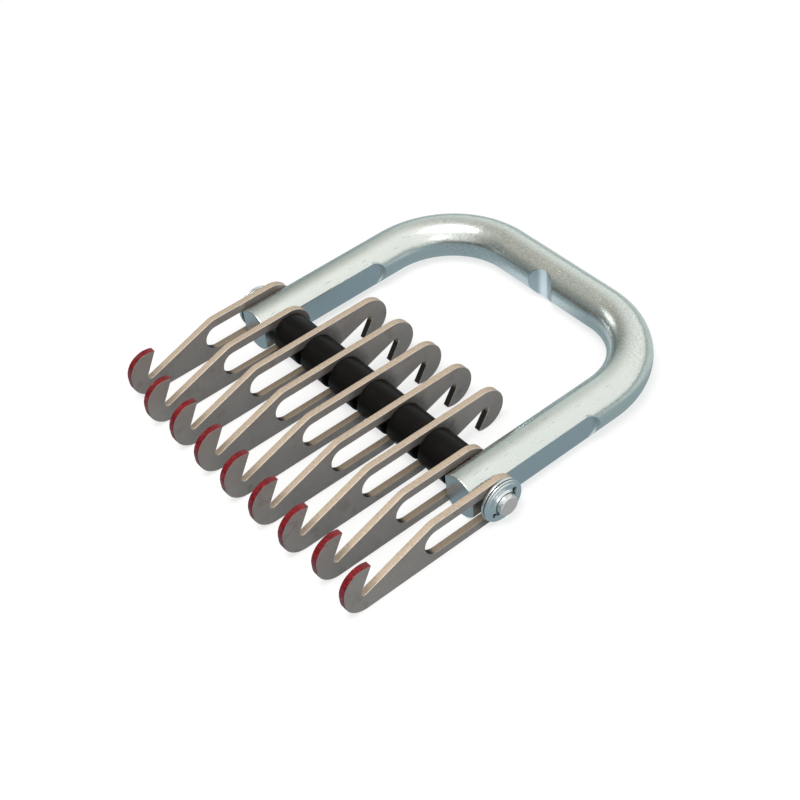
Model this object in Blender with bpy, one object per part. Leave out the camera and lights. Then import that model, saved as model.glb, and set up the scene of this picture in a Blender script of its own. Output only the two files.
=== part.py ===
"""Frame grip: a U-shaped handle bar with nine hook plates on one cross shaft.

X runs along the shaft, Y from the front hooks to the cross bar, Z up when the grip lies flat.
The origin is the middle of the shaft. Lengths are metres.
"""
import math

import bmesh
import bpy
from mathutils import Matrix, Vector

MM = 0.001

# Plates and their spacing
PLATE_COUNT = 9
PLATE_PITCH = 20.0 * MM          # middle of one plate to the middle of the next
PLATE_THICKNESS = 3.2 * MM
PLATE_HALF_HEIGHT = 10.0 * MM
FRONT_THROAT_REACH = 67.0 * MM   # slot's rear centre to the front hook's throat
REAR_THROAT_REACH = 28.3 * MM    # slot's rear centre to the rear hook's throat
THROAT_RADIUS = 1.8 * MM
RAMP_ANGLE = math.radians(19.0)  # edge that runs from a throat out to the plate's long edge
RAMP_BEND_RADIUS = 9.0 * MM
FRONT_FINGER_ANGLE = math.radians(61.0)
FRONT_FINGER_RISE = 2.3 * MM     # the front finger stands this much above the long edge
REAR_FINGER_ANGLE = math.radians(56.0)
SLOT_TRAVEL = 31.7 * MM          # distance between the centres of the slot's round ends
SLOT_CLEARANCE = 0.8 * MM        # gap all round the shaft inside a slot
# How far each plate stands back from the place where the shaft's centre meets the slot's rear centre
PLATE_REST_SLIDES = [v * MM for v in (5.9, 1.7, 1.8, 0.9, 0.3, 0.1, 0.2, 1.5, -0.6)]
SHORT_PLATES = (1, 2, 8, 9)      # the pairs beside the legs end round the shaft, with no rear hook

# Shaft, spacers, washers and retaining caps
SHAFT_RADIUS = 5.0 * MM
SHAFT_CHAMFER = 0.7 * MM
SHAFT_END_STAND = 2.0 * MM       # the shaft's end past the retaining cap's teeth
TURNING_GAP = 0.3 * MM           # between a bore and the shaft, and between neighbours on it
SPACER_RADIUS = 9.2 * MM
SPACER_CHAMFER = 0.6 * MM
WASHER_RADIUS = 10.0 * MM
WASHER_THICKNESS = 1.1 * MM
CAP_SHEET = 0.8 * MM
CAP_RIM_WIDTH = 1.8 * MM         # the cap's flat rim, outside its crown
CAP_CROWN_WIDTH = 1.6 * MM       # the crown, from the rim's step to the teeth
CAP_TOOTH_WIDTH = 1.0 * MM       # the teeth, from the crown in to the bore
CAP_CROWN_HEIGHT = 0.8 * MM
CAP_TOOTH_HEIGHT = 0.9 * MM
CAP_NOTCH_WIDTH = 2.0 * MM
CAP_NOTCH_DEPTH = 2.1 * MM       # from the bore out into the crown
CAP_NOTCH_ANGLE = math.radians(34.0)

# Handle bar
BAR_RADIUS = 10.0 * MM
HANDLE_LENGTH = 108.5 * MM       # shaft axis to the middle of the cross bar
HANDLE_BEND_RADIUS = 40.0 * MM
LEG_OVERHANG = 11.0 * MM         # leg end past the shaft axis
FLAT_REACH = 56.5 * MM           # milled flats run this far back from the shaft axis
FLAT_CUTTER_RADIUS = 6.0 * MM
GROOVE_RADIUS = 9.0 * MM
GROOVE_DEPTH = 3.9 * MM

# Facets
BAR_SEGMENTS = 40
BEND_STEPS = 12
ROUND_SEGMENTS = 32
ARC_STEP = math.radians(7.5)

# Worked out from the sizes above
MIDDLE_PLATE = (PLATE_COUNT + 1) // 2
SLOT_RADIUS = SHAFT_RADIUS + SLOT_CLEARANCE
BORE_RADIUS = SHAFT_RADIUS + TURNING_GAP
LEG_X = (PLATE_COUNT - 2) / 2.0 * PLATE_PITCH
FLAT_OFFSET = (PLATE_PITCH - PLATE_THICKNESS) / 2.0 - TURNING_GAP
SPACER_LENGTH = PLATE_PITCH - PLATE_THICKNESS - 2.0 * TURNING_GAP
WASHER_X = (PLATE_COUNT - 1) / 2.0 * PLATE_PITCH + PLATE_THICKNESS / 2.0 + TURNING_GAP
CAP_X = WASHER_X + WASHER_THICKNESS + TURNING_GAP
CAP_HEIGHT = CAP_SHEET + CAP_CROWN_HEIGHT + CAP_TOOTH_HEIGHT
CAP_TOOTH_RADIUS = BORE_RADIUS + CAP_TOOTH_WIDTH
CAP_CROWN_RADIUS = CAP_TOOTH_RADIUS + CAP_CROWN_WIDTH
CAP_RADIUS = CAP_CROWN_RADIUS + CAP_RIM_WIDTH
CAP_NOTCH_REACH = BORE_RADIUS + CAP_NOTCH_DEPTH
SHAFT_HALF_LENGTH = CAP_X + CAP_HEIGHT + SHAFT_END_STAND
CUT_MARGIN = 5.0 * MM


# ---------------------------------------------------------------- helpers

def clear_scene():
    for obj in list(bpy.data.objects):
        bpy.data.objects.remove(obj, do_unlink=True)


def metal(name, colour, roughness, metallic):
    material = bpy.data.materials.new(name)
    material.use_nodes = True
    shader = material.node_tree.nodes["Principled BSDF"]
    shader.inputs["Base Color"].default_value = (*colour, 1.0)
    shader.inputs["Roughness"].default_value = roughness
    shader.inputs["Metallic"].default_value = metallic
    return material


def add_object(name, mesh, material=None):
    obj = bpy.data.objects.new(name, mesh)
    bpy.context.scene.collection.objects.link(obj)
    if material is not None and not mesh.materials:
        mesh.materials.append(material)
    return obj


def add_pivot(name, location):
    pivot = bpy.data.objects.new(name, None)
    pivot.location = location
    bpy.context.scene.collection.objects.link(pivot)
    return pivot


def finish_mesh(bm, name, smooth=False):
    bmesh.ops.recalc_face_normals(bm, faces=bm.faces)
    mesh = bpy.data.meshes.new(name)
    bm.to_mesh(mesh)
    bm.free()
    if smooth:
        mesh.shade_smooth()
        mesh.set_sharp_from_angle(angle=math.radians(30.0))
    return mesh


def arc(centre, radius, start, end):
    """Points on a circle from one angle to another, both ends included."""
    steps = max(2, math.ceil(abs(end - start) / ARC_STEP))
    points = []
    for step in range(steps + 1):
        angle = start + (end - start) * step / steps
        points.append((centre[0] + radius * math.cos(angle), centre[1] + radius * math.sin(angle)))
    return points


def turned_mesh(name, profile, closed, segments=ROUND_SEGMENTS):
    """Spin a profile of (x, radius) points once round the X axis."""
    bm = bmesh.new()
    verts = [bm.verts.new((x, 0.0, radius)) for x, radius in profile]
    edges = [bm.edges.new(pair) for pair in zip(verts, verts[1:])]
    if closed:
        edges.append(bm.edges.new((verts[-1], verts[0])))
    bmesh.ops.spin(bm, geom=verts + edges, cent=(0, 0, 0), axis=(1, 0, 0),
                   angle=2.0 * math.pi, steps=segments, use_merge=True)
    bmesh.ops.remove_doubles(bm, verts=bm.verts, dist=0.001 * MM)
    return finish_mesh(bm, name, smooth=True)


def prism_mesh(name, outline, x_low, x_high, hole=None):
    """A plate between two X planes, from a (y, z) outline and an optional hole."""
    bm = bmesh.new()
    edges = []
    for loop in [outline] + ([hole] if hole else []):
        verts = [bm.verts.new((x_low, y, z)) for y, z in loop]
        edges += [bm.edges.new((verts[i - 1], verts[i])) for i in range(len(verts))]
    filled = bmesh.ops.triangle_fill(bm, edges=edges, use_beauty=True, normal=(1, 0, 0))
    faces = [item for item in filled["geom"] if isinstance(item, bmesh.types.BMFace)]
    extruded = bmesh.ops.extrude_face_region(bm, geom=faces)
    moved = [item for item in extruded["geom"] if isinstance(item, bmesh.types.BMVert)]
    bmesh.ops.translate(bm, verts=moved, vec=(x_high - x_low, 0, 0))
    return finish_mesh(bm, name)


def cut(obj, cutter_name, mesh, matrix=None):
    """Take a hidden cutter's shape away from an object."""
    cutter = add_object(cutter_name, mesh)
    if matrix is not None:
        cutter.matrix_world = matrix
    cutter.hide_render = True
    cutter.display_type = "WIRE"
    modifier = obj.modifiers.new(cutter_name, "BOOLEAN")
    modifier.operation = "DIFFERENCE"
    modifier.solver = "EXACT"
    modifier.object = cutter


# ---------------------------------------------------------------- hook plates

def finger_tip(throat, angle, rise):
    """Where the finger's inner edge, tangent to the throat, meets its outer arc.

    Worked out for a hook that opens upward with its finger on the -Y side.
    """
    start = Vector((throat[0] - THROAT_RADIUS * math.sin(angle), throat[1] + THROAT_RADIUS * math.cos(angle)))
    direction = Vector((math.cos(angle), math.sin(angle)))
    offset = start - Vector((throat[0], throat[1] + rise))
    along = offset.dot(direction)
    reach = -along + math.sqrt(along * along - offset.length_squared + PLATE_HALF_HEIGHT ** 2)
    return start + reach * direction


def hook_outline(throat_y, finger_angle, rise):
    """From the end of the upper long edge round the hook to the lower long edge."""
    throat = (throat_y, 0.0)
    crest = (throat_y, rise)
    ramp_start = (throat_y + THROAT_RADIUS * math.sin(RAMP_ANGLE), -THROAT_RADIUS * math.cos(RAMP_ANGLE))
    corner_y = ramp_start[0] + (PLATE_HALF_HEIGHT - ramp_start[1]) / math.tan(RAMP_ANGLE)
    bend_y = corner_y + RAMP_BEND_RADIUS * math.tan(RAMP_ANGLE / 2.0)
    tip = finger_tip(throat, finger_angle, rise)
    tip_angle = math.atan2(tip[1] - crest[1], tip[0] - crest[0])
    points = arc((bend_y, PLATE_HALF_HEIGHT - RAMP_BEND_RADIUS), RAMP_BEND_RADIUS,
                 math.pi / 2.0, math.pi / 2.0 + RAMP_ANGLE)
    points += arc(throat, THROAT_RADIUS, RAMP_ANGLE - math.pi / 2.0, finger_angle - 1.5 * math.pi)
    points += arc(crest, PLATE_HALF_HEIGHT, tip_angle, math.pi)
    heel = arc(throat, PLATE_HALF_HEIGHT, math.pi, 1.5 * math.pi)
    return points + (heel if rise > 0.0 else heel[1:])


def plate_outline(has_rear_hook):
    """Counter-clockwise as seen from +X. The slot's rear centre is the origin."""
    front = hook_outline(-FRONT_THROAT_REACH, FRONT_FINGER_ANGLE, FRONT_FINGER_RISE)
    if not has_rear_hook:
        return front + arc((0.0, 0.0), PLATE_HALF_HEIGHT, -math.pi / 2.0, math.pi / 2.0)
    rear = hook_outline(-REAR_THROAT_REACH, REAR_FINGER_ANGLE, 0.0)
    return front + [(-y, -z) for y, z in rear]


def slot_outline():
    """A long hole with round ends, between the slot's rear and front centres."""
    rear = arc((0.0, 0.0), SLOT_RADIUS, -math.pi / 2.0, math.pi / 2.0)
    front = arc((-SLOT_TRAVEL, 0.0), SLOT_RADIUS, math.pi / 2.0, 1.5 * math.pi)
    return rear + front


def make_plates(material):
    meshes = {}
    for long_pattern in (False, True):
        mesh = prism_mesh("long_plate" if long_pattern else "short_plate", plate_outline(long_pattern),
                          -PLATE_THICKNESS / 2.0, PLATE_THICKNESS / 2.0, hole=slot_outline())
        meshes[long_pattern] = mesh
    for number in range(1, PLATE_COUNT + 1):
        pivot = add_pivot(f"plate_pivot_{number}", ((number - MIDDLE_PLATE) * PLATE_PITCH, 0.0, 0.0))
        plate = add_object(f"hook_plate_{number}", meshes[number not in SHORT_PLATES], material)
        plate.parent = pivot
        plate.location = (0.0, PLATE_REST_SLIDES[number - 1], 0.0)


# ---------------------------------------------------------------- pieces on the shaft

def make_shaft(material):
    end = SHAFT_HALF_LENGTH
    face = SHAFT_RADIUS - SHAFT_CHAMFER
    profile = [(-end, 0.0), (-end, face), (-end + SHAFT_CHAMFER, SHAFT_RADIUS),
               (end - SHAFT_CHAMFER, SHAFT_RADIUS), (end, face), (end, 0.0)]
    add_object("shaft", turned_mesh("shaft", profile, closed=False, segments=BAR_SEGMENTS), material)


def make_spacers(material):
    """Tubes between neighbouring plates, except where a leg takes their place."""
    half = SPACER_LENGTH / 2.0
    rim = SPACER_RADIUS - SPACER_CHAMFER
    profile = [(-half, BORE_RADIUS), (-half, rim), (-half + SPACER_CHAMFER, SPACER_RADIUS),
               (half - SPACER_CHAMFER, SPACER_RADIUS), (half, rim), (half, BORE_RADIUS)]
    mesh = turned_mesh("spacer", profile, closed=True)
    for number in range(1, PLATE_COUNT - 2):
        spacer = add_object(f"spacer_{number}", mesh, material)
        spacer.location.x = (number + 1.5 - MIDDLE_PLATE) * PLATE_PITCH


def make_washers(material):
    outer = WASHER_X + WASHER_THICKNESS
    profile = [(WASHER_X, BORE_RADIUS), (WASHER_X, WASHER_RADIUS),
               (outer, WASHER_RADIUS), (outer, BORE_RADIUS)]
    mesh = turned_mesh("washer", profile, closed=True)
    add_object("washer_right", mesh, material)
    left = add_object("washer_left", mesh, material)
    left.rotation_euler.z = math.pi


def make_retaining_caps(material):
    """Pressed sheet: a flat rim, a raised crown and teeth that turn up round the shaft."""
    crown = CAP_X + CAP_CROWN_HEIGHT
    teeth = crown + CAP_TOOTH_HEIGHT
    slope = CAP_CROWN_HEIGHT
    under = [(CAP_X, CAP_RADIUS), (CAP_X, CAP_CROWN_RADIUS + slope), (crown, CAP_CROWN_RADIUS),
             (crown, CAP_TOOTH_RADIUS), (teeth, BORE_RADIUS)]
    over = [(x + CAP_SHEET, radius) for x, radius in reversed(under)]
    mesh = turned_mesh("retaining_cap", under + over, closed=True)
    centre = (CAP_X + CAP_HEIGHT / 2.0, 0.0, 0.0)
    notch = notch_mesh("cap_notches")
    for side, turn in (("right", 0.0), ("left", math.pi)):
        cap = add_object(f"retaining_cap_{side}", mesh, material)
        cap.rotation_euler.z = turn
        place = Matrix.Rotation(turn, 4, "Z") @ Matrix.Translation(centre)
        cut(cap, f"cap_notches_{side}", notch, place @ Matrix.Rotation(CAP_NOTCH_ANGLE, 4, "X"))


def notch_mesh(name):
    """One bar across the cap's middle, which leaves a notch on either side of the shaft."""
    bm = bmesh.new()
    size = (CAP_HEIGHT + 2.0 * CUT_MARGIN, 2.0 * CAP_NOTCH_REACH, CAP_NOTCH_WIDTH)
    bmesh.ops.create_cube(bm, size=1.0, matrix=Matrix.Diagonal((*size, 1.0)))
    return finish_mesh(bm, name)


# ---------------------------------------------------------------- handle bar

def handle_path():
    """Centre line of the bar as (point, tangent angle) pairs, from left leg end to right leg end."""
    bend_x = LEG_X - HANDLE_BEND_RADIUS
    bend_y = HANDLE_LENGTH - HANDLE_BEND_RADIUS
    path = [((-LEG_X, -LEG_OVERHANG), math.pi / 2.0)]
    for side, start in ((-1.0, math.pi), (1.0, math.pi / 2.0)):
        for step in range(BEND_STEPS + 1):
            angle = start - math.pi / 2.0 * step / BEND_STEPS
            point = (side * bend_x + HANDLE_BEND_RADIUS * math.cos(angle),
                     bend_y + HANDLE_BEND_RADIUS * math.sin(angle))
            path.append((point, angle - math.pi / 2.0))
    path.append(((LEG_X, -LEG_OVERHANG), -math.pi / 2.0))
    return path


def bar_mesh(name):
    """A round section carried along the handle's centre line, with closed ends."""
    bm = bmesh.new()
    rings = []
    for (x, y), heading in handle_path():
        side = Vector((math.sin(heading), -math.cos(heading), 0.0))
        ring = []
        for step in range(BAR_SEGMENTS):
            angle = 2.0 * math.pi * step / BAR_SEGMENTS
            offset = BAR_RADIUS * (math.cos(angle) * side + math.sin(angle) * Vector((0.0, 0.0, 1.0)))
            ring.append(bm.verts.new(Vector((x, y, 0.0)) + offset))
        rings.append(ring)
    for ring, following in zip(rings, rings[1:]):
        for step in range(BAR_SEGMENTS):
            bm.faces.new((ring[step - 1], ring[step], following[step], following[step - 1]))
    bm.faces.new(rings[0])
    bm.faces.new(rings[-1])
    return finish_mesh(bm, name, smooth=True)


def flat_cutter_outline():
    """Takes a flat off the bar from past the leg end to a round run-out."""
    centre_y = FLAT_REACH - FLAT_CUTTER_RADIUS
    run_out = arc((centre_y, 0.0), FLAT_CUTTER_RADIUS, -math.pi / 2.0, math.pi / 2.0)
    start_y = -LEG_OVERHANG - CUT_MARGIN
    return run_out + [(start_y, FLAT_CUTTER_RADIUS), (start_y, -FLAT_CUTTER_RADIUS)]


def make_handle(material):
    handle = add_object("handle_bar", bar_mesh("handle_bar"), material)
    far = BAR_RADIUS + CUT_MARGIN
    for leg_name, leg_x in (("left", -LEG_X), ("right", LEG_X)):
        for side_name, low, high in (("low", -far, -FLAT_OFFSET), ("high", FLAT_OFFSET, far)):
            name = f"flat_{leg_name}_{side_name}"
            cut(handle, name, prism_mesh(name, flat_cutter_outline(), leg_x + low, leg_x + high))
    reach = LEG_X + far
    bore = turned_mesh("shaft_holes", [(-reach, 0.0), (-reach, BORE_RADIUS), (reach, BORE_RADIUS),
                                       (reach, 0.0)], closed=False)
    cut(handle, "shaft_holes", bore)
    groove = turned_mesh("groove", [(-far, 0.0), (-far, GROOVE_RADIUS), (far, GROOVE_RADIUS),
                                    (far, 0.0)], closed=False, segments=BAR_SEGMENTS)
    groove_y = HANDLE_LENGTH - BAR_RADIUS + GROOVE_DEPTH - GROOVE_RADIUS
    upright = Matrix.Translation((0.0, groove_y, 0.0)) @ Matrix.Rotation(math.pi / 2.0, 4, "Y")
    cut(handle, "groove", groove, upright)


def main():
    clear_scene()
    zinc = metal("zinc_plated_bar", (0.62, 0.66, 0.64), 0.35, 1.0)
    bright = metal("zinc_plated_small_parts", (0.66, 0.68, 0.68), 0.3, 1.0)
    steel = metal("bare_plate_steel", (0.36, 0.34, 0.32), 0.5, 1.0)
    black = metal("black_tube", (0.012, 0.012, 0.013), 0.45, 0.0)
    make_handle(zinc)
    make_plates(steel)
    make_shaft(bright)
    make_spacers(black)
    make_washers(bright)
    make_retaining_caps(bright)


main()
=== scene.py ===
# %% [markdown]
# # A frame grip
# A frame grip lifts the combs out of a beehive. A bent round bar is the handle. A shaft joins its two legs,
# and nine flat hook plates with long slots hang on that shaft, kept apart by black tubes.
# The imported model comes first, as a fixed frame: it gives every piece its place and every body its name.

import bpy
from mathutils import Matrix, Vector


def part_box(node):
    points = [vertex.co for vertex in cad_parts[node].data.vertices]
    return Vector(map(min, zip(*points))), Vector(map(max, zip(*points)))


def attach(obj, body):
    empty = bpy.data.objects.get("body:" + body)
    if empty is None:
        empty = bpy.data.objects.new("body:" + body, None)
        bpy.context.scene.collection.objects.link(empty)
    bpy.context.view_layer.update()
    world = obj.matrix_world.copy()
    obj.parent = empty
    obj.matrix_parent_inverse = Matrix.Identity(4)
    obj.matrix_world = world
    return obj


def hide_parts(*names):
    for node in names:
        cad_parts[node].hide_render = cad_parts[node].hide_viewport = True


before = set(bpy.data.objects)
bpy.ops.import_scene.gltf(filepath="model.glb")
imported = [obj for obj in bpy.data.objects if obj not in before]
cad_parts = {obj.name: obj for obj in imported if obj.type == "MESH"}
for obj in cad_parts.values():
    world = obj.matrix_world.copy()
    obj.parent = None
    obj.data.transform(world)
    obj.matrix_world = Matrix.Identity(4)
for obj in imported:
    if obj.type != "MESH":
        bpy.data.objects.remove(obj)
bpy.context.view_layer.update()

# %% Imports and the unit
import math

import bmesh
import bpy
import numpy as np
from mathutils import Euler, Vector

MM = 0.001

# %% [markdown]
# ## Sizes that several pieces share
# The plates stand at an even pitch along the shaft, which runs along X. Each one has slid back or forward
# by its own amount, and that amount is read from the frame, so a picture and its physics always agree.

# %% Shared sizes, in millimetres
PITCH = 20.0
PLATE_COUNT = 9
TUBE_COUNT = 6
SHAFT_RADIUS = 5.0
BORE_RADIUS = 5.3
BAR_RADIUS = 10.0
LEG_X = 70.0
SHORT_PLATES = (1, 2, 8, 9)


def node_box(name):
    """Lowest and highest corner of a node of the frame, in millimetres."""
    low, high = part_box(name)
    return np.array(low) / MM, np.array(high) / MM


def lowest_point():
    """Height of the lowest node of the frame, in millimetres."""
    return min(node_box(name)[0][2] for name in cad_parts)


print("handle box:", *[corner.round(1) for corner in node_box("handle_bar")])
print("lowest point:", round(lowest_point(), 2))

# %% [markdown]
# ## From arrays to a mesh
# Every new piece is a grid of points worked out with numpy. One helper turns points and faces into an
# object. Another merges points that coincide, as they do at a pole, and turns every face outward. Where
# a row of numbers has to become a full grid, zero times an array of the other direction is added to it.

# %% Grid and mesh helpers


def grid_faces(rows, columns, wrap=False):
    """Quads between neighbouring rows that close on themselves. With wrap, the last row meets the first."""
    count = rows if wrap else rows - 1
    first = np.arange(count * columns).reshape(count, columns)
    beside = np.roll(first, -1, axis=1)
    quads = np.stack([first, beside, beside + columns, first + columns], axis=-1)
    return quads.reshape(-1, 4) % (rows * columns)


def add_piece(name, points, faces, material, attributes=None):
    """An object from points in millimetres, with its place in its mesh."""
    mesh = bpy.data.meshes.new(name)
    mesh.from_pydata((np.asarray(points) * MM).tolist(), [], np.asarray(faces).tolist())
    for key, values in (attributes or {}).items():
        layer = mesh.attributes.new(key, "FLOAT", "POINT")
        layer.data.foreach_set("value", np.asarray(values, dtype=np.float32))
    piece = bpy.data.objects.new(name, mesh)
    bpy.context.scene.collection.objects.link(piece)
    mesh.materials.append(material)
    return piece


MERGE_DISTANCE = 0.002 * MM
SMOOTH_LIMIT = math.radians(32.0)


def close_mesh(piece, fill_ends=False):
    """Merge doubles, fill open loops that lie in an X plane if asked, and face everything outward."""
    bm = bmesh.new()
    bm.from_mesh(piece.data)
    bmesh.ops.remove_doubles(bm, verts=bm.verts, dist=MERGE_DISTANCE)
    for face in bm.faces:
        face.smooth = True
    if fill_ends:
        rim = [edge for edge in bm.edges if edge.is_boundary]
        for side in (-1.0, 1.0):
            middle = sum(vert.co.x for edge in rim for vert in edge.verts) / (2.0 * len(rim))
            loop = [edge for edge in rim if (edge.verts[0].co.x - middle) * side > 0.0]
            bmesh.ops.triangle_fill(bm, edges=loop, use_beauty=True, normal=(side, 0, 0))
    bmesh.ops.recalc_face_normals(bm, faces=bm.faces)
    bm.to_mesh(piece.data)
    open_edges = sum(edge.is_boundary for edge in bm.edges)
    bm.free()
    piece.data.set_sharp_from_angle(angle=SMOOTH_LIMIT)
    print(f"{piece.name}: {len(piece.data.polygons)} faces, {open_edges} open edges")


# %% [markdown]
# ## Shader sums as Python sums
# A finish is a sum of small effects, such as grain plus scratches. A wrapped socket lets those sums be
# written as plain expressions, and every operator adds the Math node that it stands for.

# %% The wrapped socket


class Value:
    """A number that changes over a surface. Arithmetic on it adds Math nodes."""

    def __init__(self, finish, socket):
        self.finish = finish
        self.socket = socket

    def math(self, operation, *others):
        inputs = dict(enumerate((self, *others)))
        node = self.finish.node("ShaderNodeMath", {"operation": operation}, inputs)
        return Value(self.finish, node.outputs[0])

    def __add__(self, other):
        return self.math("ADD", other)

    def __sub__(self, other):
        return self.math("SUBTRACT", other)

    def __rsub__(self, other):
        return (self * -1.0) + other

    def __mul__(self, other):
        return self.math("MULTIPLY", other)

    def __truediv__(self, other):
        return self.math("DIVIDE", other)

    def __abs__(self):
        return self.math("ABSOLUTE")

    __radd__ = __add__
    __rmul__ = __mul__


# %% The finish helper


class Finish:
    """A material and short ways to add what it needs. Its lengths are millimetres."""

    def __init__(self, name, metallic):
        self.material = bpy.data.materials.new(name)
        self.material.use_nodes = True
        self.tree = self.material.node_tree
        self.shader = self.tree.nodes["Principled BSDF"]
        self.shader.inputs["Metallic"].default_value = metallic
        coordinates = self.node("ShaderNodeTexCoord")
        scaled = self.node("ShaderNodeVectorMath", {"operation": "SCALE"},
                           {0: coordinates.outputs["Object"], "Scale": 1.0 / MM})
        self.place = scaled.outputs[0]
        self.x, self.y, self.z = self.parts(self.place)
        self.nx = self.parts(coordinates.outputs["Normal"])[0]

    def node(self, kind, settings=None, inputs=None):
        """Add a node of a type: its settings first, then the values or links of its sockets."""
        node = self.tree.nodes.new(kind)
        for key, value in (settings or {}).items():
            setattr(node, key, value)
        for key, value in (inputs or {}).items():
            value = value.socket if isinstance(value, Value) else value
            if isinstance(value, bpy.types.NodeSocket):
                self.tree.links.new(value, node.inputs[key])
            else:
                node.inputs[key].default_value = value
        return node

    def parts(self, vector):
        """The three numbers of a vector."""
        split = self.node("ShaderNodeSeparateXYZ", None, {0: vector})
        return [Value(self, output) for output in split.outputs]

    def vector(self, x, y, z):
        """A vector of three numbers, such as a stretched place for a noise."""
        return self.node("ShaderNodeCombineXYZ", None, {0: x, 1: y, 2: z}).outputs[0]

    def noise(self, per_mm, detail=3.0, where=None):
        """Clouds from 0 to 1, with this many per millimetre."""
        inputs = {"Vector": where or self.place, "Scale": per_mm, "Detail": detail}
        return Value(self, self.node("ShaderNodeTexNoise", None, inputs).outputs["Fac"])

    def step(self, value, low, high):
        """0 below low and 1 above high, smooth between. It falls instead where low is above high."""
        falls = low > high
        inputs = {"Value": value, "From Min": min(low, high), "From Max": max(low, high)}
        settings = {"interpolation_type": "SMOOTHSTEP"}
        result = Value(self, self.node("ShaderNodeMapRange", settings, inputs).outputs["Result"])
        return 1.0 - result if falls else result

    def attribute(self, name):
        """A number that the mesh carries on its points."""
        return Value(self, self.node("ShaderNodeAttribute", {"attribute_name": name}).outputs["Fac"])

    def blend(self, factor, first, second):
        """Colour from first to second as factor goes from 0 to 1."""
        inputs = {0: factor, 6: first, 7: second}
        return self.node("ShaderNodeMix", {"data_type": "RGBA"}, inputs).outputs[2]

    def use(self, colour, roughness, relief=None, depth=0.0):
        """Feed the shader. Relief is a height from 0 to 1, and depth its full height in millimetres."""
        self.tree.links.new(colour, self.shader.inputs["Base Color"])
        self.tree.links.new(roughness.socket, self.shader.inputs["Roughness"])
        if relief is not None:
            bump = self.node("ShaderNodeBump", None,
                             {"Height": relief, "Distance": depth * MM, "Strength": 1.0})
            self.tree.links.new(bump.outputs[0], self.shader.inputs["Normal"])
        print("finish:", self.material.name, len(self.tree.nodes), "nodes")
        return self.material


# %% [markdown]
# ## Bright zinc on the bar
# Zinc plating on a bent bar is a pale metal with a faint blue and green cast. It shows the orange peel of
# the steel below, short scratches, and on the milled flats the fine arcs that the cutter left.

# %% Plated bar
FLAT_END_Y = 56.5
LEG_END_Y = -11.0
GROOVE_CENTRE_Y = 93.4
GROOVE_RADIUS = 9.0
FLAT_CUTTER_RADIUS = 6.0
FLAT_TRACK_END_Y = FLAT_END_Y - FLAT_CUTTER_RADIUS


def milled_masks(finish):
    """Where a cutter has been: flats by their sideways normal, the groove by its axis, the ends by Y."""
    flat = finish.step(abs(finish.nx), 0.965, 0.99) * finish.step(finish.y, FLAT_END_Y + 0.5, FLAT_END_Y)
    across = finish.y - GROOVE_CENTRE_Y
    from_axis = (finish.x * finish.x + across * across).math("SQRT")
    groove = finish.step(from_axis, GROOVE_RADIUS + 0.25, GROOVE_RADIUS + 0.1) \
        * finish.step(abs(finish.x), 8.6, 8.2)
    end = finish.step(finish.y, LEG_END_Y + 0.35, LEG_END_Y + 0.1)
    return flat, groove, end


def run_out_mask(finish):
    """The rougher wall where a flat ends: just outside the cutter's track, on either side of a leg."""
    past = (finish.y - FLAT_TRACK_END_Y).math("MAXIMUM", 0.0)
    from_track = (past * past + finish.z * finish.z).math("SQRT")
    outside = finish.step(from_track, FLAT_CUTTER_RADIUS - 0.3, FLAT_CUTTER_RADIUS)
    near = finish.step(from_track, FLAT_CUTTER_RADIUS + 1.2, FLAT_CUTTER_RADIUS + 0.6)
    from_leg = abs(abs(finish.x) - LEG_X)
    beyond = finish.step(finish.y, FLAT_TRACK_END_Y + 0.5, FLAT_TRACK_END_Y + 1.5)
    return outside * near * beyond * finish.step(from_leg, 7.0, 7.5)


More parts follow.
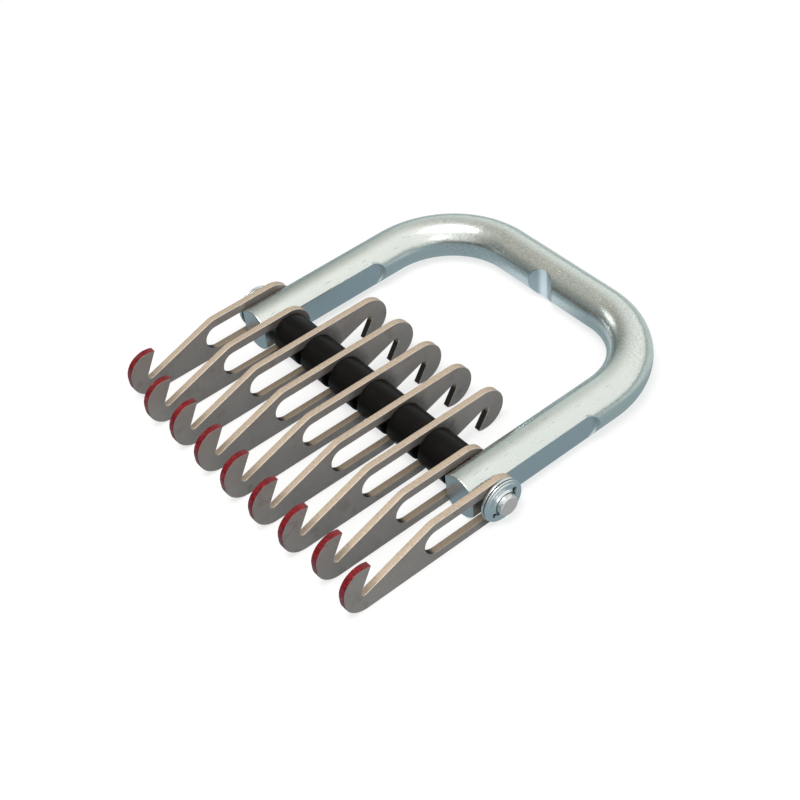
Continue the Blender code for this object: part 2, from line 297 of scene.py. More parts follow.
def plated_bar():
    """Orange peel, clouds, specks and scratches on the plating, cutter marks where it was milled, and a
    painted highlight down the groove.
    """
    finish = Finish("bright_zinc_bar", metallic=1.0)
    flat, groove, end = milled_masks(finish)
    wall = run_out_mask(finish)
    cut = flat.math("MAXIMUM", groove).math("MAXIMUM", end)
    peel = finish.noise(1.5, detail=4.0)
    ripple = finish.noise(0.16, detail=3.0)
    cloud = finish.noise(0.06, detail=4.0)
    speck = finish.step(finish.noise(1.6, detail=2.0), 0.66, 0.78)
    stretched = finish.vector(finish.x * 2.2, finish.y * 0.16, finish.z * 2.2)
    scratch = finish.step(finish.noise(0.8, detail=2.0, where=stretched), 0.69, 0.74)
    along_leg = finish.vector(0.0, finish.y * 1.3, finish.z * 0.25)
    sweep = finish.noise(1.0, detail=2.0, where=along_leg)
    slanting = finish.vector((finish.x + finish.z) * 1.6, 0.0, 0.0)
    facing = finish.noise(1.0, detail=2.0, where=slanting)
    mark = finish.blend(cloud, (0.72, 0.765, 0.745, 1), (0.81, 0.815, 0.78, 1))
    grain = finish.step(finish.noise(1.3, detail=3.0), 0.44, 0.6)
    bent_part = finish.step(finish.y, 72.0, 96.0)
    mark = finish.blend(grain * (0.08 + bent_part * 0.32), mark, (0.50, 0.52, 0.49, 1))
    mark = finish.blend(speck * 0.42, mark, (0.34, 0.37, 0.36, 1))
    mark = finish.blend(scratch * 0.5, mark, (0.32, 0.36, 0.38, 1))
    # Painted highlight: a bright band down the groove, a little off its middle, with darker metal to either
    # side.
    groove_lines = finish.vector(finish.x * 1.4, 0.0, finish.z * 0.02)
    upright = finish.noise(1.0, detail=3.0, where=groove_lines)
    painted_highlight_band = finish.step(abs(finish.x + 1.2) + (upright - 0.5) * 2.0, 3.4, 0.8)
    turned = finish.blend(painted_highlight_band, (0.44, 0.50, 0.50, 1), (0.97, 0.98, 0.98, 1))
    colour = finish.blend(cut * 0.85, mark, (0.60, 0.65, 0.67, 1))
    colour = finish.blend(wall, colour, (0.50, 0.56, 0.58, 1))
    colour = finish.blend(groove, colour, turned)
    lines = (sweep - 0.5) * flat + (facing - 0.5) * end + (sweep - 0.5) * groove
    relief = (peel * 0.75 + ripple * 2.0) * (1.0 - cut) + lines - scratch * 0.6
    roughness = 0.12 + peel * 0.14 + cloud * 0.08 + cut * 0.1
    roughness = roughness - scratch * 0.03 + wall * 0.3
    return finish.use(colour, roughness, relief, depth=0.06)


zinc_bar = plated_bar()

# %% [markdown]
# ## Bright zinc on the small parts
# Washers, caps and the shaft are turned or pressed, so their marks run round the shaft's axis.
# The shaft's ends are sawn after plating, so they are bare and duller.

# %% Plated small parts
SHAFT_END_X = node_box("shaft")[1][0]


def plated_small_parts():
    """Rings by distance from the axis on faces that look along X, nicks, and bare steel at the ends."""
    finish = Finish("bright_zinc_small_parts", metallic=1.0)
    from_axis = (finish.y * finish.y + finish.z * finish.z).math("SQRT")
    round_axis = finish.vector(from_axis * 3.0, finish.x, 0.0)
    rings = finish.noise(1.0, detail=2.0, where=round_axis)
    cloud = finish.noise(0.35, detail=4.0)
    nick = finish.step(finish.noise(1.1, detail=3.0), 0.66, 0.74)
    facing = finish.step(abs(finish.nx), 0.9, 0.98)
    colour = finish.blend(cloud, (0.86, 0.88, 0.88, 1), (0.68, 0.72, 0.74, 1))
    colour = finish.blend(nick * 0.5, colour, (0.30, 0.31, 0.30, 1))
    sawn = finish.step(abs(finish.x), SHAFT_END_X - 0.35, SHAFT_END_X - 0.1)
    sawn = sawn * finish.step(from_axis, SHAFT_RADIUS - 0.4, SHAFT_RADIUS - 0.6)
    bare_steel = finish.blend(cloud, (0.60, 0.57, 0.555, 1), (0.72, 0.695, 0.68, 1))
    colour = finish.blend(sawn, colour, bare_steel)
    metal = 1.0 - sawn * 0.75
    finish.tree.links.new(metal.socket, finish.shader.inputs["Metallic"])
    roughness = 0.17 + cloud * 0.16 + nick * 0.2 + sawn * 0.25
    return finish.use(colour, roughness, (rings - 0.5) * facing + cloud * 0.4, depth=0.05)


zinc_small = plated_small_parts()

# %% [markdown]
# ## Hook plate steel
# The plates are cut from rolled sheet. The rolled faces are a satin warm grey with stains. The cut edges
# are tan, with fine lines straight across the thickness, and the front hooks' outer edge is painted red.

# %% Plate steel and paint


def plate_steel():
    """The mesh says what is edge, slot wall, paint and painted shade on deep cut edges. Each plate's number
    shifts its noise.
    """
    finish = Finish("hook_plate_steel", metallic=0.6)
    edge = finish.attribute("edge")
    slot = finish.attribute("slot")
    along = finish.attribute("along")
    plate = ((finish.x / PITCH) + 0.5).math("FLOOR")
    shifted = finish.vector(finish.x * 0.5, finish.y + plate * 37.0, finish.z)
    cloud = finish.noise(0.09, detail=5.0, where=shifted)
    fine = finish.noise(1.3, detail=4.0, where=shifted)
    grain = finish.noise(2.6, detail=2.0, where=shifted)
    rolling = finish.vector(plate * 9.0, finish.y * 0.12, finish.z * 2.4)
    rolled = finish.noise(1.0, detail=3.0, where=rolling)
    stain = finish.step(finish.noise(0.16, detail=5.0, where=shifted), 0.56, 0.74)
    cutting = finish.vector(along * 2.6, finish.x * 0.25, plate * 5.0)
    lines = finish.noise(1.0, detail=2.0, where=cutting)
    wander = finish.noise(0.5, detail=2.0, where=shifted)
    painted = finish.step(finish.attribute("paint") + (wander - 0.5) * 0.25, 0.42, 0.58) \
        * finish.step(edge, 0.15, 0.5)
    face = finish.blend(cloud, (0.33, 0.282, 0.258, 1), (0.50, 0.435, 0.40, 1))
    face = finish.blend(rolled * 0.3, face, (0.60, 0.54, 0.50, 1))
    face = finish.blend(stain * 0.4, face, (0.22, 0.18, 0.16, 1))
    face = finish.blend(finish.step(grain, 0.48, 0.66) * 0.5, face, (0.19, 0.165, 0.155, 1))
    # Painted shade: the face goes much darker close round the shaft, where the tubes stand against it.
    from_axis = (finish.y * finish.y + finish.z * finish.z).math("SQRT")
    painted_shade_round_shaft = finish.step(from_axis + wander * 3.0, 17.0, 12.0)
    face = finish.blend(painted_shade_round_shaft * 0.55, face, (0.035, 0.03, 0.028, 1))
    bands = finish.step(lines, 0.22, 0.62)
    tan = finish.blend(bands, (0.37, 0.285, 0.215, 1), (0.57, 0.455, 0.345, 1))
    inside = finish.blend(lines, (0.24, 0.18, 0.13, 1), (0.48, 0.385, 0.285, 1))
    cut_edge = finish.blend(slot, tan, inside)
    # Painted shade: the cut edge goes near black in the rear hook's narrow mouth and at the slot's front
    # end.
    cut_edge = finish.blend(finish.attribute("painted_edge_shade") * 0.93, cut_edge, (0.006, 0.007, 0.007, 1))
    bare = finish.blend(edge, face, cut_edge)
    # A pale line along the rounded edge: partly a burr, partly a painted highlight where the rounding meets
    # the light.
    burr = finish.step(edge, 0.25, 0.5) * finish.step(edge, 0.8, 0.6) * (1.0 - slot)
    bare = finish.blend(burr * 0.7, bare, (0.86, 0.82, 0.76, 1))
    streak = finish.step(fine, 0.35, 0.7)
    red = finish.blend(streak, (0.10, 0.001, 0.004, 1), (0.30, 0.004, 0.011, 1))
    colour = finish.blend(painted, bare, red)
    metal = (1.0 - painted) * (0.55 - edge * 0.15)
    finish.tree.links.new(metal.socket, finish.shader.inputs["Metallic"])
    steel_rough = 0.40 + fine * 0.14 + stain * 0.12 + edge * 0.06
    roughness = steel_rough * (1.0 - painted) + painted * (0.14 + fine * 0.16)
    relief = fine * 0.5 * (1.0 - edge) + lines * edge * (1.0 - painted) + wander * painted * 0.5
    return finish.use(colour, roughness, relief, depth=0.07)


hook_steel = plate_steel()

# %% [markdown]
# ## Black tubes
# The tubes between the plates are satin black, slightly brown where they are worn, with fine draw lines
# along their length and one pale line at the same angle round each tube.

# %% Tube black
PALE_LINE_ANGLE = math.radians(-128.0)


def tube_black():
    """Near black with draw lines along X, a little dust, and a pale line at one angle round the axis."""
    finish = Finish("satin_black_tube", metallic=0.0)
    angle = finish.z.math("ARCTAN2", finish.y)
    drawn = finish.vector(finish.x * 0.1, finish.y * 2.5, finish.z * 2.5)
    draw = finish.noise(1.0, detail=3.0, where=drawn)
    cloud = finish.noise(0.12, detail=4.0)
    dust = finish.step(finish.noise(1.7, detail=2.0), 0.7, 0.78)
    pale_line = finish.step(abs(angle - PALE_LINE_ANGLE), 0.03, 0.012)
    colour = finish.blend(cloud, (0.0018, 0.002, 0.0022, 1), (0.006, 0.005, 0.004, 1))
    colour = finish.blend(draw * 0.2, colour, (0.018, 0.015, 0.013, 1))
    colour = finish.blend(dust * 0.35, colour, (0.06, 0.055, 0.05, 1))
    colour = finish.blend(pale_line * 0.5, colour, (0.14, 0.13, 0.12, 1))
    roughness = 0.15 + cloud * 0.12 + draw * 0.16
    finish.shader.inputs["Specular IOR Level"].default_value = 0.11
    return finish.use(colour, roughness, draw * 0.6 + pale_line, depth=0.05)


black_tube = tube_black()

# %% [markdown]
# ## The handle bar
# The bar is one round section carried along a path: up the left leg, round two bends, down the right leg.
# The flats and the groove are limits on how far the section may reach sideways. A soft minimum of the
# section and the limit leaves the small rounding that a cutter and the plating leave on a real edge.

# %% Path of the bar
HANDLE_LENGTH = 108.5
HANDLE_BEND_RADIUS = 40.0
END_CHAMFER = 0.5
BEND_ROWS = 56


def spaced(start, end, step):
    """Evenly spaced numbers from start up to but without end, about step apart."""
    return np.linspace(start, end, max(2, math.ceil(abs(end - start) / step)), endpoint=False)


def bar_path():
    """Rows of (x, y, heading), close together at the leg's end, at the flat's end and in the groove."""
    bend_y = HANDLE_LENGTH - HANDLE_BEND_RADIUS
    bend_x = LEG_X - HANDLE_BEND_RADIUS
    start_y = LEG_END_Y + END_CHAMFER
    near_end = LEG_END_Y + 1.0
    run_out, past_flat = FLAT_TRACK_END_Y + 0.5, FLAT_END_Y + 1.5
    leg = np.concatenate([
        spaced(start_y, near_end, 0.12),
        spaced(near_end, run_out - 3.0, 4.0),
        spaced(run_out - 3.0, run_out, 0.5),
        spaced(run_out, past_flat, 0.14),
        spaced(past_flat, bend_y, 2.0)])
    turn = np.linspace(math.pi, math.pi / 2.0, BEND_ROWS, endpoint=False)
    groove_edge = GROOVE_RADIUS + 0.5
    cross = np.concatenate([spaced(-bend_x, -groove_edge, 3.0), spaced(-groove_edge, 0.0, 0.22)])
    left = np.concatenate([
        np.stack([np.full_like(leg, -LEG_X), leg, np.full_like(leg, math.pi / 2.0)], axis=1),
        np.stack([-bend_x + HANDLE_BEND_RADIUS * np.cos(turn), bend_y + HANDLE_BEND_RADIUS * np.sin(turn),
                  turn - math.pi / 2.0], axis=1),
        np.stack([cross, np.full_like(cross, HANDLE_LENGTH), np.zeros_like(cross)], axis=1)])
    middle = np.array([[0.0, HANDLE_LENGTH, 0.0]])
    return np.concatenate([left, middle, left[::-1] * (-1.0, 1.0, -1.0)])


path = bar_path()
print("bar path rows:", len(path))

# %% Limits that the cutters set
FLAT_OFFSET = 8.1
WALL_STEEPNESS = 2.5
FLAT_LIMIT_MARGIN = 3.0
FAR = 30.0


def flat_limit(y, z):
    """Half width between the flats: the offset inside the cutter's track, rising steeply outside it."""
    past = np.maximum(y - FLAT_TRACK_END_Y, 0.0)
    outside = np.maximum(np.hypot(past, z) - FLAT_CUTTER_RADIUS, 0.0)
    return np.where(y < FLAT_END_Y + FLAT_LIMIT_MARGIN, FLAT_OFFSET + WALL_STEEPNESS * outside, FAR)


def groove_limit(x):
    """How far the cross bar may reach inward: up to a circle of the groove's radius about its axis."""
    inside = np.abs(x) < GROOVE_RADIUS
    depth = np.sqrt(np.maximum(GROOVE_RADIUS ** 2 - x ** 2, 0.0))
    return np.where(inside, HANDLE_LENGTH - GROOVE_CENTRE_Y - depth, FAR)


def soft_minimum(a, b, width):
    """The smaller of two, rounded off by width where they cross."""
    near = np.maximum(width - np.abs(a - b), 0.0) / width
    return np.minimum(a, b) - near * near * width / 4.0


print("groove depth:", BAR_RADIUS - float(groove_limit(np.array(0.0))))

# %% Section angles
FLAT_EDGE = math.degrees(math.acos(FLAT_OFFSET / BAR_RADIUS))


def section_angles():
    """Angles round the bar: close together across the groove and the flats, closer at the flats' edges."""
    inner_side, outer_flat = 60.0, 39.0
    inner = np.arange(-inner_side, inner_side, 1.5)
    outer = np.concatenate([
        np.arange(inner_side, 180.0 - outer_flat, 3.0),
        np.arange(180.0 - outer_flat, 180.0 + outer_flat, 1.3),
        np.arange(180.0 + outer_flat, 360.0 - inner_side, 3.0)])
    close = np.linspace(-1.6, 1.6, 9)
    edges = [base + side * FLAT_EDGE + close for base in (0.0, 180.0) for side in (-1.0, 1.0)]
    degrees = np.unique(np.round(np.concatenate([inner, outer, *edges]) % 360.0, 4))
    return np.radians(degrees)


angles = section_angles()
print("section points:", len(angles))

# %% Build the bar
EDGE_ROUNDING = 0.3
BURR_HEIGHT = 0.12
BURR_WIDTH = 0.3
TOLERANCE = 0.001


def bar_points(path, angles):
    """Centre + side * limited(radius cos a) + up * radius sin a, for every row and every angle.

    A small burr is added where the groove's limit meets the section: height * exp(-(distance / width)^2).
    """
    x, y, heading = (column[:, None] for column in path.T)
    reach = BAR_RADIUS * np.cos(angles)[None, :]
    height = BAR_RADIUS * np.sin(angles)[None, :] + 0.0 * x
    leg_limit = np.where(np.abs(x) > LEG_X - TOLERANCE, flat_limit(y, height), FAR)
    inner_limit = np.where(np.abs(heading) < TOLERANCE, groove_limit(x), FAR)
    limit = np.where(reach > 0.0, np.minimum(leg_limit, inner_limit), leg_limit)
    shaped = np.sign(reach) * soft_minimum(np.abs(reach), limit, EDGE_ROUNDING)
    lip = np.exp(-((np.abs(reach) - inner_limit) / BURR_WIDTH) ** 2) * (reach > 0.0)
    shaped = shaped + BURR_HEIGHT * lip
    side = np.stack([np.sin(heading), -np.cos(heading), 0.0 * heading], axis=-1)
    centre = np.stack([x, y, 0.0 * x], axis=-1)
    up = np.array([0.0, 0.0, 1.0])
    return centre + shaped[..., None] * side + height[..., None] * up


def with_ends(points):
    """Close both ends with rings of (scale, drop): a chamfer, the flat end face, a pole in its middle."""
    ends = []
    chamfer = END_CHAMFER / BAR_RADIUS
    steps = [(1.0 - 0.3 * chamfer, 0.7), (1.0 - chamfer, 1.0), (0.6, 1.0), (0.25, 1.0), (0.0, 1.0)]
    for ring in (points[0], points[-1]):
        middle = np.array([np.sign(ring[:, 0].mean()) * LEG_X, 0.0, 0.0])
        rings = []
        for scale, drop in steps:
            shrunk = middle + (ring - middle) * (scale, 1.0, scale)
            shrunk[:, 1] = LEG_END_Y + END_CHAMFER - END_CHAMFER * drop
            rings.append(shrunk)
        ends.append(rings)
    return np.stack([*ends[0][::-1], *points, *ends[1]])


rows = with_ends(bar_points(path, angles))
handle = add_piece("handle_bar_finished", rows.reshape(-1, 3), grid_faces(*rows.shape[:2]), zinc_bar)
close_mesh(handle)

# %% [markdown]
# ## Turned pieces
# Tubes, washers, caps and the shaft are all profiles turned once round X. Each corner of a profile is
# replaced by a short curve first, because no real edge is a perfect corner.

# %% Turn a profile


def rounded(profile, radius, steps=5):
    """Each corner P becomes (1-t)^2 A + 2t(1-t) P + t^2 B, with A and B radius away on its two sides."""
    longest = 0.45  # of a side, so that the curves at its two ends never meet
    corner = np.asarray(profile, dtype=float)
    before, after = np.roll(corner, 1, axis=0) - corner, np.roll(corner, -1, axis=0) - corner
    lengths = [np.linalg.norm(side, axis=1, keepdims=True) for side in (before, after)]
    a = corner + before * np.minimum(radius / lengths[0], longest)
    b = corner + after * np.minimum(radius / lengths[1], longest)
    t = np.linspace(0.0, 1.0, steps)[None, :, None]
    curve = (1 - t) ** 2 * a[:, None] + 2 * t * (1 - t) * corner[:, None] + t ** 2 * b[:, None]
    return curve.reshape(-1, 2)


def turned_piece(name, profile, material, segments=96, closed=True):
    """Points (x, r cos a, r sin a) for a profile of (x, r) and a full turn of a."""
    angle = np.linspace(0.0, 2.0 * math.pi, segments, endpoint=False)
    x, radius = np.asarray(profile).T[..., None]
    points = np.stack([x + 0.0 * angle, radius * np.cos(angle), radius * np.sin(angle)], axis=-1)
    faces = grid_faces(len(profile), segments, wrap=closed)
    piece = add_piece(name, points.reshape(-1, 3), faces, material)
    close_mesh(piece)
    return piece


def carve(piece, cutter):
    """Take a cutter's shape away for good, merge the doubles it leaves, and remove the cutter."""
    modifier = piece.modifiers.new("carve", "BOOLEAN")
    modifier.operation, modifier.solver, modifier.object = "DIFFERENCE", "EXACT", cutter
    bpy.context.view_layer.update()
    finished = piece.evaluated_get(bpy.context.evaluated_depsgraph_get())
    carved = bpy.data.meshes.new_from_object(finished)
    piece.modifiers.clear()
    piece.data = carved
    bpy.data.objects.remove(cutter, do_unlink=True)
    bm = bmesh.new()
    bm.from_mesh(carved)
    bmesh.ops.remove_doubles(bm, verts=bm.verts, dist=MERGE_DISTANCE)
    bm.to_mesh(carved)
    bm.free()
    carved.shade_smooth()
    carved.set_sharp_from_angle(angle=SMOOTH_LIMIT)


# %% [markdown]
# One long drill goes through both legs, as on the real bar, so the two holes are sure to be in line. The
# hole could be part of the section's limits too, but a Boolean keeps its rim round.

# %% Drill the legs
DRILL_REACH = 90.0
drill_profile = [(-DRILL_REACH, 0.0), (-DRILL_REACH, BORE_RADIUS),
                 (DRILL_REACH, BORE_RADIUS), (DRILL_REACH, 0.0)]
drill = turned_piece("drill", drill_profile, zinc_bar, closed=False)
carve(handle, drill)
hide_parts("handle_bar")
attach(handle, "handle")
print("handle faces after drilling:", len(handle.data.polygons))

# %% [markdown]
# The tubes and washers are simple rings. Their ends and outer sizes come from the frame's boxes, so they
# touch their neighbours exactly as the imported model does.

# %% Tubes between the plates
TUBE_CHAMFER = 0.6
TUBE_ROUNDING = 0.3
for number in range(1, TUBE_COUNT + 1):
    low, high = node_box(f"spacer_{number}")
    outer = high[2]
    shoulder = outer - TUBE_CHAMFER
    corners = [(low[0], BORE_RADIUS), (low[0], shoulder), (low[0] + TUBE_CHAMFER, outer),
               (high[0] - TUBE_CHAMFER, outer), (high[0], shoulder), (high[0], BORE_RADIUS)]
    tube = turned_piece(f"black_tube_{number}", rounded(corners, TUBE_ROUNDING), black_tube)
    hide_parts(f"spacer_{number}")
    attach(tube, f"spacer_ring_{number}")

# %% Washers
WASHER_ROUNDING = 0.25
for side in ("left", "right"):
    low, high = node_box(f"washer_{side}")
    outer = high[2]
    corners = [(low[0], BORE_RADIUS), (low[0], outer), (high[0], outer), (high[0], BORE_RADIUS)]
    washer = turned_piece(f"plated_washer_{side}", rounded(corners, WASHER_ROUNDING), zinc_small)
    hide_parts(f"washer_{side}")
    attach(washer, f"{side}_washer_ring")

# %% [markdown]
# ## Push-on caps
# A pressed cap holds each end of the stack. Its rim rolls over, its crown steps up, and its teeth turn up
# round the shaft, with a notch on either side. The profile is a sheet, equally thick along the axis
# everywhere. One rounded bar laid straight across the axis cuts both notches at once.

# %% Caps
CAP_SHEET = 0.8
CAP_NOTCH_ANGLE = math.radians(34.0)
CAP_NOTCH_HALF_WIDTH = 1.3
CAP_NOTCH_REACH = 7.6
CAP_RIM_RADIUS, CAP_RIM_INNER, CAP_CROWN_RADIUS, CAP_TOOTH_RADIUS = 9.7, 8.9, 8.3, 6.2
CAP_CROWN_RISE, CAP_TOOTH_RISE = 0.6, 1.7
CAP_ROUNDING = 0.35
NOTCH_CUTTER_LENGTH = 12.0
NOTCH_MIDDLE_RISE = 1.5


def notch_bar(x_middle, length):
    """A rounded bar straight across the shaft's axis, turned to the notches' angle."""
    t = np.linspace(0.0, 2.0 * math.pi, 32, endpoint=False)
    width = CAP_NOTCH_HALF_WIDTH * np.cos(t)
    reach = CAP_NOTCH_REACH - CAP_NOTCH_HALF_WIDTH + CAP_NOTCH_HALF_WIDTH * np.abs(np.sin(t))
    across = np.where(np.sin(t) >= 0.0, reach, -reach)
    y = across * math.cos(CAP_NOTCH_ANGLE) - width * math.sin(CAP_NOTCH_ANGLE)
    z = across * math.sin(CAP_NOTCH_ANGLE) + width * math.cos(CAP_NOTCH_ANGLE)
    loops = [np.stack([np.full_like(t, x_middle + end * length), y, z], axis=-1) for end in (-0.5, 0.5)]
    cutter = add_piece("notch_cutter", np.concatenate(loops), grid_faces(2, len(t)), zinc_small)
    close_mesh(cutter, fill_ends=True)
    return cutter


for side, sign in (("left", -1.0), ("right", 1.0)):
    low, high = node_box(f"retaining_cap_{side}")
    inner = low[0] if sign > 0.0 else high[0]
    notch_middle = inner + sign * NOTCH_MIDDLE_RISE
    under = [(0.0, CAP_RIM_RADIUS), (0.0, CAP_RIM_INNER), (CAP_CROWN_RISE, CAP_CROWN_RADIUS),
             (CAP_CROWN_RISE, CAP_TOOTH_RADIUS), (CAP_TOOTH_RISE, BORE_RADIUS)]
    over = [(along + CAP_SHEET, radius) for along, radius in reversed(under)]
    corners = [(inner + sign * along, radius) for along, radius in under + over]
    profile = rounded(corners, CAP_ROUNDING)
    cap = turned_piece(f"push_on_cap_{side}", profile, zinc_small)
    carve(cap, notch_bar(notch_middle, NOTCH_CUTTER_LENGTH))
    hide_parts(f"retaining_cap_{side}")
    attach(cap, "shaft_set")

# %% Shaft
SHAFT_CHAMFER = 0.7
low, high = node_box("shaft")
end_radius = SHAFT_RADIUS - SHAFT_CHAMFER
end_rings = [(0.0, 0.0), (0.0, end_radius * 0.5), (0.0, end_radius - 0.15), (0.1, end_radius),
             (SHAFT_CHAMFER, SHAFT_RADIUS)]
shaft_profile = [(low[0] + along, radius) for along, radius in end_rings]
shaft_profile += [(high[0] - along, radius) for along, radius in reversed(end_rings)]
shaft = turned_piece("plated_shaft", shaft_profile, zinc_small, closed=False)
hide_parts("shaft")
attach(shaft, "shaft_set")

# %% [markdown]
# ## Hook plates
# One outline serves both kinds of plate. It is walked from arcs whose centres are the throats of the hooks
# and the ends of the slot, and then carried across the thickness with a small rounded edge. Points on it
# carry how far along they are, so that the cutting lines on the edge follow the outline.

# %% Outline of a plate
HALF_HEIGHT = 10.0
FRONT_REACH, REAR_REACH = 67.0, 28.3
THROAT_RADIUS = 1.8
RAMP_ANGLE = math.radians(19.0)
RAMP_BEND = 9.0
FRONT_FINGER, REAR_FINGER = math.radians(61.0), math.radians(56.0)
FRONT_RISE = 2.3
SLOT_RADIUS, SLOT_TRAVEL = 5.8, 31.7
OUTLINE_STEP = 0.8
ARC_STEP = math.radians(4.0)
SAME_POINT = 1e-6


def arc(centre, radius, start, end):
    """centre + radius (cos a, sin a) for a from start to end, a short step apart."""
    count = max(3, math.ceil(abs(end - start) / ARC_STEP) + 1)
    a = np.linspace(start, end, count)
    return np.stack([centre[0] + radius * np.cos(a), centre[1] + radius * np.sin(a)], axis=1)


def hook(throat_y, finger, rise):
    """Four arcs from the upper edge to the lower: the ramp's bend, the throat, the finger, the heel.

    The finger's inner edge is a tangent to the throat's circle. Its tip is where that line meets the
    outer arc, whose centre is raised by rise. So reach solves |offset + reach * along| = HALF_HEIGHT.
    """
    quarter = math.pi / 2.0
    ramp = (throat_y + THROAT_RADIUS * math.sin(RAMP_ANGLE), -THROAT_RADIUS * math.cos(RAMP_ANGLE))
    bend_y = ramp[0] + (HALF_HEIGHT - ramp[1]) / math.tan(RAMP_ANGLE) + RAMP_BEND * math.tan(RAMP_ANGLE / 2)
    start = np.array([throat_y - THROAT_RADIUS * math.sin(finger), THROAT_RADIUS * math.cos(finger)])
    along = np.array([math.cos(finger), math.sin(finger)])
    offset = start - (throat_y, rise)
    reach = -offset @ along + math.sqrt((offset @ along) ** 2 - offset @ offset + HALF_HEIGHT ** 2)
    tip = start + reach * along - (throat_y, rise)
    return np.concatenate([
        arc((bend_y, HALF_HEIGHT - RAMP_BEND), RAMP_BEND, quarter, quarter + RAMP_ANGLE),
        arc((throat_y, 0.0), THROAT_RADIUS, RAMP_ANGLE - quarter, finger - 3.0 * quarter),
        arc((throat_y, rise), HALF_HEIGHT, math.atan2(tip[1], tip[0]), math.pi),
        arc((throat_y, 0.0), HALF_HEIGHT, math.pi, 3.0 * quarter)])


def even(loop):
    """A closed loop with extra points on its long stretches and none on top of another."""
    gap = np.linalg.norm(np.roll(loop, -1, axis=0) - loop, axis=1)
    loop, gap = loop[gap > SAME_POINT], gap[gap > SAME_POINT]
    parts = [np.linspace(p, q, max(1, math.ceil(g / OUTLINE_STEP)), endpoint=False)
             for p, q, g in zip(loop, np.roll(loop, -1, axis=0), gap)]
    return np.concatenate(parts)


def plate_outline(short):
    """A hook at the front, and at the rear half a circle or the same hook turned half round."""
    front = hook(-FRONT_REACH, FRONT_FINGER, FRONT_RISE)
    rear = arc((0.0, 0.0), HALF_HEIGHT, -math.pi / 2.0, math.pi / 2.0) if short \
        else -hook(-REAR_REACH, REAR_FINGER, 0.0)
    return even(np.concatenate([front, rear]))


def slot_outline():
    """Two half circles, one about the shaft and one at the far end of the slot."""
    rear = arc((0.0, 0.0), SLOT_RADIUS, -math.pi / 2.0, math.pi / 2.0)
    return even(np.concatenate([rear, arc((-SLOT_TRAVEL, 0.0), SLOT_RADIUS, math.pi / 2.0, 1.5 * math.pi)]))


print("outline points:", len(plate_outline(False)), "slot points:", len(slot_outline()))

# %% [markdown]
# A plate could be extruded and bevelled with modifiers. Here its wall is written as rows across the
# thickness, because each row then knows how far it is from the face, and the finish needs that to tell the
# rolled face from the cut edge. The two faces are filled last, with the slot left open.

# %% Plates from the outline
EDGE_RADIUS = 0.28
EDGE_ROWS = 5
PAINT_FROM, PAINT_TO = math.radians(40.0), math.radians(216.0)
PAINT_INNER_RADIUS, PAINT_FADE, PAINT_BACK = 8.6, 0.8, 6.0
EDGE_SHADE_WIDTH, EDGE_SHADE_LEAD = 0.05, 0.4
FACE_NORMAL = 0.9999


def inward(loop, solid_sign):
    """Unit normals that point into the plate: the mean direction of two neighbours, turned a quarter."""
    run = np.roll(loop, -1, axis=0) - np.roll(loop, 1, axis=0)
    run /= np.linalg.norm(run, axis=1, keepdims=True)
    return solid_sign * np.stack([-run[:, 1], run[:, 0]], axis=1)


def wall_rows(loop, normals, thickness):
    """Rows (x, y, z) across the thickness: a quarter turn of the edge radius, the wall, a quarter turn."""
    turn = np.linspace(0.0, math.pi / 2.0, EDGE_ROWS)
    inset = EDGE_RADIUS * (1.0 - np.sin(turn))
    x = thickness / 2.0 - EDGE_RADIUS * (1.0 - np.cos(turn))
    inset, x = np.concatenate([inset, inset[::-1]]), np.concatenate([x, -x[::-1]])
    flat = loop[None] + normals[None] * inset[:, None, None]
    rows = np.concatenate([x[:, None, None] + 0.0 * flat[..., :1], flat], axis=-1)
    edge = np.concatenate([np.linspace(0.0, 1.0, EDGE_ROWS), np.linspace(1.0, 0.0, EDGE_ROWS)])
    return rows, edge[:, None] + 0.0 * loop[None, :, 0]


def outline_paint(loop):
    """1 on the outer arc of the front finger, from its tip round to its heel, and 0 elsewhere."""
    y, z = (loop - (-FRONT_REACH, FRONT_RISE)).T
    around = np.arctan2(z, y) % (2.0 * math.pi)
    outside = np.clip((np.hypot(y, z) - PAINT_INNER_RADIUS) / PAINT_FADE, 0.0, 1.0)
    ends = np.clip((around - PAINT_FROM) / 0.1, 0, 1) * np.clip((PAINT_TO - around) / 0.2, 0, 1)
    return outside * ends * (loop[:, 0] < -FRONT_REACH + PAINT_BACK)


def finger_edge_shade(loop, short):
    """1 along the inner edge of the rear finger, where shade is painted: near its line and past the throat.
    """
    if short:
        return np.zeros(len(loop))
    direction = np.array([math.cos(REAR_FINGER), math.sin(REAR_FINGER)])
    start = (-REAR_REACH - THROAT_RADIUS * direction[1], THROAT_RADIUS * direction[0])
    offset = -loop - start
    along = offset @ direction
    aside = np.abs(offset @ (-direction[1], direction[0]))
    return (aside < EDGE_SHADE_WIDTH) * np.clip(along + EDGE_SHADE_LEAD, 0.0, 1.0) * (along < HALF_HEIGHT)


def slot_end_shade(loop):
    """1 on the lower part of the slot's front end, where shade is painted."""
    at_front = np.clip((-SLOT_TRAVEL - loop[:, 0] - 1.0) / 2.0, 0.0, 1.0)
    return at_front * np.clip(1.5 - loop[:, 1], 0.0, 1.0)


